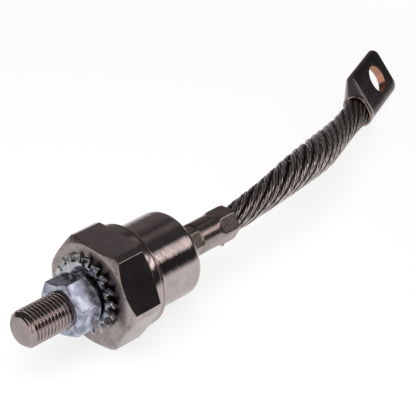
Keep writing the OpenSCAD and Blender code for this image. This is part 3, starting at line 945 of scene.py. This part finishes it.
def tube_radius(x):
    """Radius for each turn and station: the round tube, mixed with each crimp.

    A small burr, exp(-(distance / size)^2), stands out where the die's two
    halves met.
    """
    inner = softer_of(hex_radius(tube_turns, CRIMP_FLAT, NEAR_AF), TUBE_R)[:, None]
    swell = TUBE_R + SWELL * rise(x, *SWELLS) - SHRINK * rise(x, *SHRINKS)
    outer = softer_of(hex_radius(tube_turns, CRIMP_FLAT, FAR_AF)[:, None], swell)
    near = rise(x, *NEAR_STARTS) - rise(x, *NEAR_ENDS)
    far = rise(x, *FAR_STARTS)
    off_seam = np.cos(tube_turns[:, None] - BURR_TURN) - 1
    burr = BURR_HIGH * np.exp(-((x - BURR_X) / BURR_LONG)**2) * np.exp(-(off_seam / BURR_WIDE)**2)
    return TUBE_R * (1 - near - far) + near * inner + far * outer + burr


# %% Make the tube
# Each stretch has its first and last station and the number of them
STRETCHES = ((22.8, 30.2, 6), (30.3, 35.6, 30), (35.7, 41.3, 14), (CRIMP_AT, 47.85, 40))
TUBE_START, LEAD_BORE_R, LEAD_BORE_END, ROPE_BORE_R = 22.8, 2.6, 35.5, 3.5
BEVEL, LEAD_FLARE, ROPE_FLARE = 0.1, 0.15, 0.12
LIP = ((0.08, 0.06), (0, 0.25))
tube_x = np.concatenate([np.linspace(*stretch) for stretch in STRETCHES])
outside_r = tube_radius(tube_x)
mouth_r = outside_r[:, -1]
count = len(tube_turns)
lead_bore = lines_of(count, [
    (LEAD_BORE_END, LEAD_BORE_R), (TUBE_START + BEVEL, LEAD_BORE_R),
    (TUBE_START, LEAD_BORE_R + LEAD_FLARE)])
lip = lines_of(count, [(TUBE_END - back, mouth_r - inwards) for back, inwards in LIP])
rope_bore = lines_of(count, [
    (TUBE_END, ROPE_BORE_R + ROPE_FLARE), (TUBE_END - BEVEL, ROPE_BORE_R),
    (CRIMP_AT, ROPE_BORE_R)])
tube_lines = np.concatenate([lead_bore, lines_on(tube_x, outside_r), lip, rope_bore], axis=1)
tube = lay("tube", carry(tube_lines, tube_turns), sharp=32.0)
dress(tube, tube_nickel, "nickel_plate", "terminal_tube")

# %% [markdown]
# ## The cable lug
#
# The lug is a length of copper tube: one end stays oval and holds the rope, the
# other is pressed flat and punched. So it is one section carried along a line,
# an oval that grows wider and thinner, and the hole is cut at the end.

# %% The lug's sections
MOUTH_W, MOUTH_H, MOUTH_WALL = 10.0, 7.5, 0.7
PALM_W, PALM_T, PALM_MID = 14.3, 2.4, -3.8
BARREL, THROAT, LUG_LEN = 1.0, 12.7, 35.0
CORNER, EDGE = 2.4, 0.4
FOLD_DIP, FOLD_REACH = 0.035, 0.8
RIM_EASE, RIM_REACH = 0.25, 0.3
SOCKET_EASE, SOCKET_REACH = 0.2, 0.15
FULL_WIDTH_BY = 5.0
loop = around(88)


def section(width, height):
    """Oblong with round sides: a circle as high as the oblong, drawn apart."""
    radius = height[:, None] / 2
    apart = np.clip(FULL_WIDTH_BY * np.cos(loop), -1, 1)
    return radius * np.cos(loop) + (width[:, None] / 2 - radius) * apart, radius * np.sin(loop)


def lug_stations():
    """Places along the lug: close together at the rim, the fold and the corners."""
    rim = [0.0, 0.1, 0.3, 0.7, 1.2]
    slope = np.linspace(1.7, THROAT - 1, 18)
    fold = THROAT + np.array([-0.7, -0.35, 0, 0.35, 0.7])
    palm = np.linspace(THROAT + 1.5, LUG_LEN - CORNER, 14)
    corner = LUG_LEN - CORNER + (CORNER - EDGE) * np.sin(np.radians(np.linspace(8, 82, 9)))
    return np.concatenate([rim, slope, fold, palm, corner])


def lug_rows():
    """Rows from the socket out: x, width, height and middle.

    The share t goes from 0 at the mouth to 1 at the palm in a straight line,
    eased at the fold. Near the tip the width follows a quarter circle, and the
    last rows step in by e (1 - cos a) to round the edge.
    """
    x = lug_stations()
    t = np.clip((x - BARREL) / (THROAT - BARREL), 0, 1)
    t = t - FOLD_DIP * np.clip(1 - np.abs(x - THROAT) / FOLD_REACH, 0, 1)**2
    past = np.clip((x - LUG_LEN + CORNER) / CORNER, 0, 1)
    width = MOUTH_W + (PALM_W - MOUTH_W) * t - 2 * CORNER * (1 - np.sqrt(1 - past**2))
    height = MOUTH_H + (PALM_T - MOUTH_H) * t
    rim = RIM_EASE * np.clip(1 - x / RIM_REACH, 0, 1)**2
    rows = np.stack([x, width - 2 * rim, height - 2 * rim, PALM_MID * t], -1)
    a = np.radians(np.array([30, 60, 90]))
    step = EDGE * (1 - np.cos(a))
    tip_w = PALM_W - 2 * CORNER + 2 * np.sqrt(CORNER**2 - (CORNER - EDGE)**2) * np.cos(a)**0.5
    tip = np.stack([LUG_LEN - EDGE + EDGE * np.sin(a), tip_w, PALM_T - 2 * step, 0 * a + PALM_MID], -1)
    bore_w, bore_h = MOUTH_W - 2 * MOUTH_WALL, MOUTH_H - 2 * MOUTH_WALL
    socket = np.array([(MOUTH_DEPTH, bore_w, bore_h, 0), (SOCKET_REACH, bore_w, bore_h, 0),
                       (0, bore_w + SOCKET_EASE, bore_h + SOCKET_EASE, 0)])
    return np.concatenate([socket, rows, tip])


# %% Make the lug's skin
RIM_ROWS, LUG_SHARP = (2, 3), 40.0
rows = lug_rows()
y, z = section(rows[:, 1], rows[:, 2])
z = z + rows[:, 3:]
lug_grid = (LUG_MOUTH + rows[:, 0, None, None] * LUG_ALONG
            + y[..., None] * LUG_ACROSS + z[..., None] * LUG_OUT)
rim_mark = np.isin(np.arange(len(rows)), RIM_ROWS)[:, None] + 0 * y
lug = lay("lug", lug_grid, sharp=LUG_SHARP, marks={"rim": rim_mark})

# %% Punch the hole
HOLE_X, HOLE_R, PUNCH_REACH = 25.9, 4.2, 4.0
hole_at = LUG_MOUTH + HOLE_X * LUG_ALONG + PALM_MID * LUG_OUT
punch_ring = around(64)[:, None]
punch_side = HOLE_R * (np.cos(punch_ring) * LUG_ALONG + np.sin(punch_ring) * LUG_ACROSS)
punch_ends = np.array([-PUNCH_REACH, PUNCH_REACH])[:, None, None] * LUG_OUT
punch = lay("punch", hole_at + punch_side[None] + punch_ends)
cut = lug.modifiers.new("hole", "BOOLEAN")
cut.operation, cut.solver, cut.object = "DIFFERENCE", "EXACT", punch
punched = bpy.data.meshes.new_from_object(lug.evaluated_get(bpy.context.evaluated_depsgraph_get()))
lug.modifiers.clear()
lug.data = punched
punched.set_sharp_from_angle(angle=np.radians(LUG_SHARP))
bpy.data.objects.remove(punch)
print(f"hole: {2 * HOLE_R:.1f} mm across")

# %% Dull plate for the lug, worn to copper at its rim and in its hole
PLATE_DARK, PLATE_PALE = (0.175, 0.152, 0.152), (0.268, 0.230, 0.234)
WORN_TONE, COPPER_TONE = (0.55, 0.37, 0.30), (0.62, 0.31, 0.22)
material, shader, place = finish("lug plate", Metallic=1.0)
hole_distance = place.minus(hole_at * MM).vector("CROSS_PRODUCT", tuple(LUG_OUT)).length()
bare = 1 - hole_distance.ramp_mm(HOLE_R + 0.02, HOLE_R + 0.08)
rim = place.node("Attribute", {"attribute_name": "rim"}, out="Fac")
clouds = place.noise(300.0, detail=5.0)
fine = place.noise(4500.0, detail=2.0)
plate = clouds.ramp(0.35, 0.68).mix(PLATE_DARK, PLATE_PALE)
worn = (0.8 * rim * place.noise(700.0).ramp(0.35, 0.6)).mix(plate, WORN_TONE)
feed(shader, {
    "Base Color": bare.mix(worn, COPPER_TONE),
    "Roughness": 0.20 + 0.05 * bare + 0.10 * (clouds - 0.5) + 0.08 * (fine - 0.5),
    "Normal": relief(clouds + 0.5 * fine, strength=0.15, depth=0.04),
})
dress(lug, material, "dark_plate", "cable_lug")

(route * MM).tolist()
print(f"cord: {run[-1]:.1f} mm long, {2 * ROPE_MID_R:.1f} mm thick")

# %% [markdown]
# ## Pieces inside the can
#
# The junction is sealed in, so its CAD solids are right as they are. They only
# get finishes: lapped molybdenum, polished silicon, a soft coating and copper.


# %% Finish the inner pieces
def plain(name, colour, rough, metal, scale):
    """A finish with small changes of tone and gloss, for a hidden piece."""
    material, shader, place = finish(name, Metallic=metal)
    tone = place.noise(scale, detail=3.0)
    feed(shader, {"Base Color": tone.ramp(0.3, 0.7).mix(darker(colour, 0.8), colour),
                  "Roughness": rough + 0.1 * (tone - 0.5)})
    return material


molybdenum = plain("molybdenum", (0.52, 0.52, 0.54), rough=0.35, metal=1.0, scale=3000.0)
copper = plain("copper", (0.72, 0.40, 0.28), rough=0.3, metal=1.0, scale=1200.0)
silicon = plain("silicon", (0.10, 0.105, 0.13), rough=0.08, metal=0.6, scale=2000.0)
coating = plain("coating", (0.80, 0.79, 0.75), rough=0.5, metal=0.0, scale=1500.0)
for name, material, slot in (
        ("lower_disc", molybdenum, "molybdenum"), ("upper_disc", molybdenum, "molybdenum"),
        ("silicon_die", silicon, "silicon"), ("junction_coat", coating, "silicone_rubber"),
        ("contact_cup", copper, "copper"), ("inner_lead", copper, "copper")):
    dress(nodes[name], material, slot)

# %% [markdown]
# ## Floor, room and light
#
# The part lies on a white table in a dim studio. Metal shows the room itself,
# so the room could be one even glow only if the part were to look like grey
# plastic. Here a soft box to the right of the camera draws the bright streak
# along the can, with a dim glow above it, and darkness beside it draws the
# black one. A small bright card is what the nut's flat mirrors. A reflector
# stands to the left, and pale places behind the camera show in the thread and
# in the cone round the seat. A lamp overhead lights the table, and the metal
# doesn't mirror it. The floor is white to the camera. In reflections near the
# part it glows with a painted pool of light, pale on the side towards the soft
# box and grey on the far side, and its matt share keeps the shadow.

# %% Lay the floor
FLOOR_Z, FLOOR_HALF = -13.5, 4000.0
NEAR_FLOOR, FAR_FLOOR = 0.03, 0.30
GLOW, PAINTED_LIGHT_SHARE = 0.8, 0.8
PAINTED_LIGHT_SIDE, PAINTED_LIGHT_FROM, PAINTED_LIGHT_TO = (0.6, -0.8, 0.0), -0.06, 0.05
MATT_NEAR, MATT_FAR = (0.95, 0.95, 0.95), (0.30, 0.29, 0.29)
PAINTED_UNLIT_GREY, WHITE = (0.52, 0.51, 0.51), (1.0, 1.0, 1.0)
corners = FLOOR_HALF * np.array([(-1, -1), (1, -1), (1, 1), (-1, 1)])
floor = build("floor", np.column_stack([corners, np.full(4, FLOOR_Z)]), [[0, 1, 2, 3]])
material = bpy.data.materials.new("table")
material.use_nodes = True
material.cycles.emission_sampling = "NONE"
material.node_tree.nodes.clear()
start = Wire(material.node_tree)
camera_ray, glossy_ray, through_ray = (
    start.node("LightPath", out=f"Is {kind} Ray") for kind in ("Camera", "Glossy", "Transmission"))
spot = start.node("TexCoord", out="Object").stretch(1.0, 1.0, 0.0)
far = spot.length().ramp(NEAR_FLOOR, FAR_FLOOR)
mirrored = (glossy_ray + through_ray).clamp() * (1 - far)
shown = (camera_ray * (GLOW + (1 - GLOW) * far) + GLOW * mirrored).clamp()
matt = start.node("BsdfDiffuse", {}, {"Color": far.mix(MATT_NEAR, MATT_FAR)})
# Painted light for mirrored rays: the floor glows pale towards the soft box and grey on the far side.
painted_lit = spot.dot(*PAINTED_LIGHT_SIDE).ramp(PAINTED_LIGHT_FROM, PAINTED_LIGHT_TO)
tone = (camera_ray + PAINTED_LIGHT_SHARE * painted_lit).clamp().mix(PAINTED_UNLIT_GREY, WHITE)
white = start.node("Emission", {}, {"Color": tone, "Strength": 1.0})
surface = start.node("MixShader", {}, {0: shown, 1: matt, 2: white})
start.node("OutputMaterial", {}, {"Surface": surface})
floor.data.materials.append(material)
print("floor at", FLOOR_Z, "mm")

# %% Dim the room
# Each place in the room: the way to it, where its edge starts and ends as a dot
# product with that way, and its colour. Later places cover earlier ones.
DARKNESS = (0.030, 0.028, 0.030)
BACK, OVERHEAD = (0.60, 0.796, 0.087), (0.0, 0.0, 1.0)
ROOM = {
    "dim back of the room": (BACK, (-0.3, 0.6), (0.055, 0.052, 0.052)),
    "ceiling": (OVERHEAD, (0.60, 1.0), (0.09, 0.087, 0.087)),
    "back wall": (BACK, (0.55, 1.0), (0.165, 0.147, 0.15)),
    "lighter patch at the back": ((0.592, 0.192, 0.783), (0.980, 0.997), (0.22, 0.20, 0.20)),
    "dark patch at the back": ((0.592, 0.430, 0.682), (0.990, 0.998), (0.045, 0.042, 0.042)),
    "glow above the soft box": ((0.600, -0.486, 0.636), (0.975, 0.997), (0.28, 0.255, 0.25)),
    "bright card": ((0.482, -0.491, 0.725), (0.992, 0.9965), (1.45, 1.38, 1.38)),
    "warm patch behind the camera": ((-0.81, -0.57, 0.13), (0.88, 0.985), (1.10, 0.95, 0.88)),
    "pale wall behind the camera": ((-0.42, -0.62, 0.66), (0.84, 0.96), (0.75, 0.69, 0.66)),
}
world = bpy.data.worlds.new("room")
scene.world = world
world.use_nodes = True
world.node_tree.nodes.clear()
start = Wire(world.node_tree)
direction = start.node("TexCoord", out="Generated")
shade = DARKNESS
for way, edges, colour in ROOM.values():
    shade = direction.dot(*way).ramp(*edges).mix(shade, colour)
room = start.node("Background", {}, {"Color": shade, "Strength": 1.0})
start.node("OutputWorld", {}, {"Surface": room})
print("room:", ", ".join(ROOM))

# %% Hang the lights
LIGHTS_AIM = np.array((0.03, 0.0, 0.0))


def soft_box(name, azimuth, elevation, distance, width, height, radiance, colour):
    """An area lamp aimed at the part; its power is pi x area x radiance."""
    a, e = np.radians((azimuth, elevation))
    towards = np.array((np.cos(e) * np.cos(a), np.cos(e) * np.sin(a), np.sin(e)))
    lamp = bpy.data.lights.new(name, "AREA")
    lamp.shape, lamp.size, lamp.size_y = "RECTANGLE", width, height
    lamp.energy, lamp.color = np.pi * width * height * radiance, colour
    made = add(name, lamp)
    side = unit(np.cross((0.0, 0.0, 1.0), towards))
    at = LIGHTS_AIM + distance * towards
    made.matrix_world = aimed(at.tolist(), side, np.cross(towards, side), towards)
    print(name, "at", np.round(at, 2))
    return made


soft_box("key", azimuth=-41.5, elevation=32.2, distance=1.0,
         width=0.60, height=0.18, radiance=1.9, colour=(1.0, 0.91, 0.88))
soft_box("reflector", azimuth=162.0, elevation=14.0, distance=1.0,
         width=0.95, height=0.46, radiance=0.8, colour=(1.0, 0.93, 0.88))
ceiling = soft_box("ceiling", azimuth=200.0, elevation=72.0, distance=1.3,
                   width=1.6, height=1.6, radiance=3.1, colour=(1.0, 0.98, 0.97))
ceiling.visible_glossy = False
